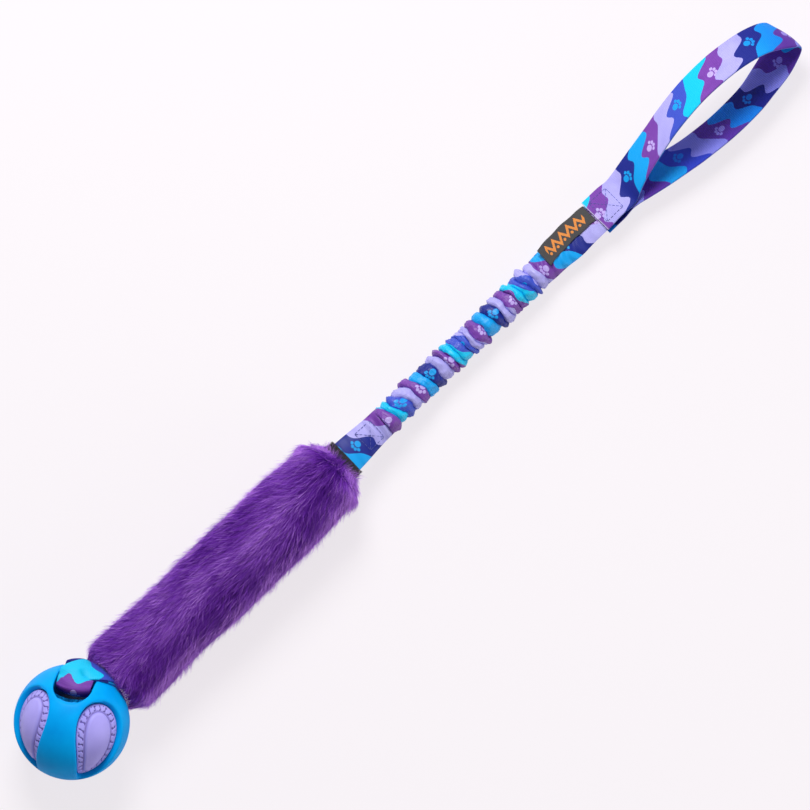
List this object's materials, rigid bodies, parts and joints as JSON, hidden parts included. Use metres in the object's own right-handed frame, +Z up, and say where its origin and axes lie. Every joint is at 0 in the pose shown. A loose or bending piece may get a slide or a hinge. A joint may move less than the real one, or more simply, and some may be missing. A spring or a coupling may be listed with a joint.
{
  "type": "bungee ball tug toy",
  "caption": "Dog tug toy: a rubber ball on a webbing strap, a long fur sleeve, a gathered bungee section and a webbing hand loop.",
  "frame": {"origin": "middle of the fur sleeve's flat underside, on the floor that the toy lies on", "axes": "+X runs along the toy from the ball to the hand loop, +Z is up, +Y is to the left of +X"},
  "size_m": [0.6536, 0.0718, 0.072],
  "materials": {
    "blue_rubber": "smooth moulded blue rubber",
    "lilac_rubber": "matt moulded lilac rubber",
    "fur": "long purple faux fur",
    "black_webbing": "black woven tape",
    "printed_webbing": "woven webbing printed in blue, cyan, purple and lilac",
    "printed_cover": "gathered printed webbing tube",
    "elastic": "braided elastic cord",
    "thread": "dark sewing thread",
    "charcoal_label": "woven charcoal label, blank"
  },
  "bodies": {
    "tug": {"fur_sleeve": "fur", "core_webbing": "black_webbing", "ball_strap": "printed_webbing", "strap_stitching": "thread", "neck_tape": "black_webbing"},
    "ball": {"ball_shell": "blue_rubber", "ball_core": "lilac_rubber"},
    "bungee": {"lower_end": "printed_webbing", "lower_stitching": "thread", "bungee_cover": "printed_cover", "bungee_cord": "elastic"},
    "anchor": {"upper_end": "printed_webbing", "handle_root": "printed_webbing", "handle_throat": "printed_webbing", "upper_stitching": "thread"},
    "handle": {"handle_loop": "printed_webbing"},
    "label": {"label": "charcoal_label"}
  },
  "joints": [
    {"name": "ball_swing", "type": "hinge", "parent": "tug", "child": "ball", "pos_m": [-0.10892, 0.01612, 0.04544], "axis": [0.5393, -0.829, 0.1479], "range_deg": [-60, 10], "deforming": ["ball_strap"]},
    {"name": "neck_bend", "type": "hinge", "parent": "tug", "child": "bungee", "pos_m": [0.1025, 0, 0.02582], "axis": [0, 1, 0], "range_deg": [-80, 80], "deforming": ["core_webbing"]},
    {"name": "bungee_stretch", "type": "slide", "parent": "bungee", "child": "anchor", "axis": [1, 0, 0], "range_m": [0, 0.12], "stiffness_N_per_m": 600, "deforming": ["bungee_cover", "bungee_cord"]},
    {"name": "handle_bend", "type": "hinge", "parent": "anchor", "child": "handle", "pos_m": [0.343, 0, 0.0102], "axis": [0, -0.9063, 0.4226], "range_deg": [-60, 60], "deforming": ["handle_throat"]},
    {"name": "label_flap", "type": "hinge", "parent": "anchor", "child": "label", "pos_m": [0.3191, 0.00087, 0.01281], "axis": [0, 0.9486, -0.3166], "range_deg": [0, 90]}
  ]
}
